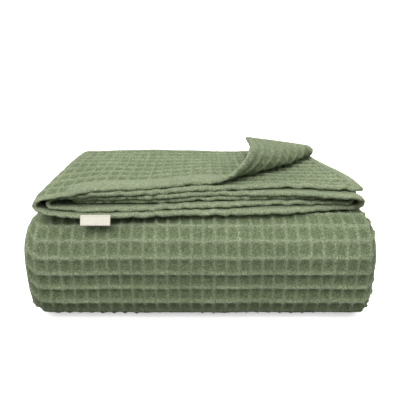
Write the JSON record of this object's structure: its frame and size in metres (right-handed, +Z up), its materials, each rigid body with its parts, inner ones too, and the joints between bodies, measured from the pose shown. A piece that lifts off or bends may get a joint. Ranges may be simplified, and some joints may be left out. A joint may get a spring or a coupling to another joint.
{
  "type": "folded waffle weave cotton blanket",
  "caption": "Soft waffle weave blanket folded into a thick stack with a loose flap on top, one corner turned back and a small sewn label.",
  "frame": {"origin": "middle of the base, on the surface that the blanket lies on", "axes": "+X along the folded blanket's width, -Y towards its round front fold and the flap's hems, +Z up"},
  "size_m": [0.4052, 0.2618, 0.1975],
  "materials": {
    "waffle_cotton": "soft matt sage green cotton in a deep waffle weave",
    "woven_label": "fine cream woven tape, bare of words"
  },
  "bodies": {
    "root": {"blanket": "waffle_cotton", "label": "woven_label"}
  },
  "joints": []
}
